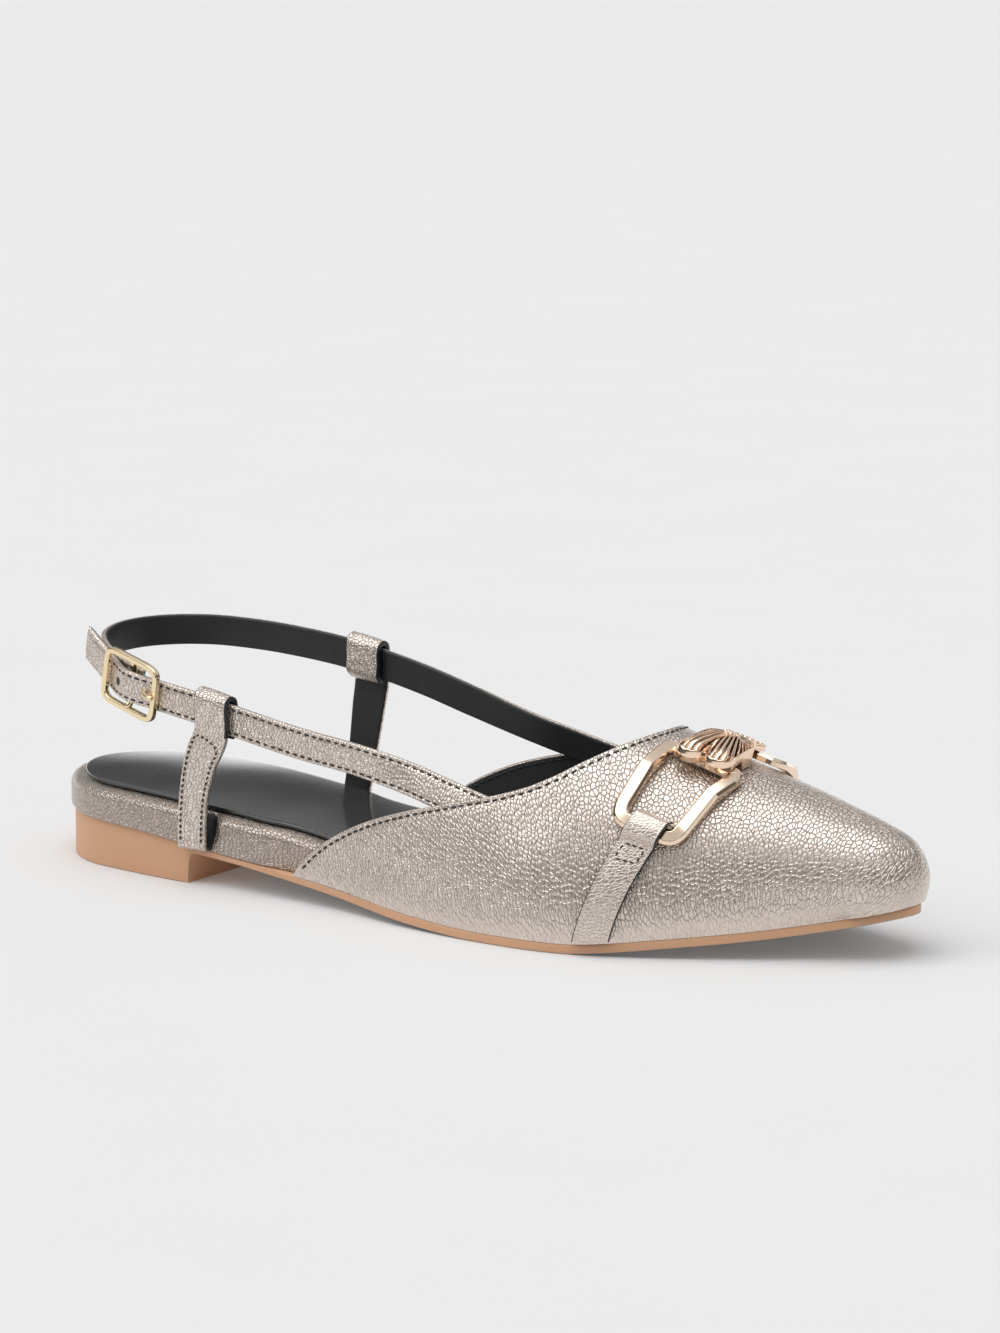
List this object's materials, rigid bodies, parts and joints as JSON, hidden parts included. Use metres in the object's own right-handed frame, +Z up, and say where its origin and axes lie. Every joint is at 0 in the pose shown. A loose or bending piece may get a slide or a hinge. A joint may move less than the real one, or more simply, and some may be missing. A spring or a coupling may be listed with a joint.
{
  "type": "pointed toe sandal",
  "caption": "Right-foot slingback flat with a closed pointed toe, low block heel, buckled heel strap on side stays and a metal bit ornament across the vamp.",
  "frame": {"origin": "on the floor under the middle of the shoe's box", "axes": "+X from heel to toe, +Y to the inner side of the foot, +Z up"},
  "size_m": [0.2578, 0.0802, 0.0631],
  "materials": {
    "tan_sole": "satin moulded",
    "pewter_leather": "pebbled metallic",
    "black_sock": "smooth satin",
    "pale_gold": "polished plate",
    "rose_gold": "polished plate"
  },
  "bodies": {
    "root": {"outsole": "tan_sole", "footbed": "pewter_leather", "insole": "black_sock", "upper": "pewter_leather", "sling_strap": "pewter_leather", "buckle_strap": "pewter_leather", "stay_lateral": "pewter_leather", "stay_medial": "pewter_leather", "buckle_frame": "pale_gold", "buckle_prong": "pale_gold", "bit_tab_lateral": "pewter_leather", "bit_tab_medial": "pewter_leather", "bit_link_lateral": "pale_gold", "bit_link_medial": "pale_gold", "bit_rosette": "rose_gold"}
  },
  "joints": []
}
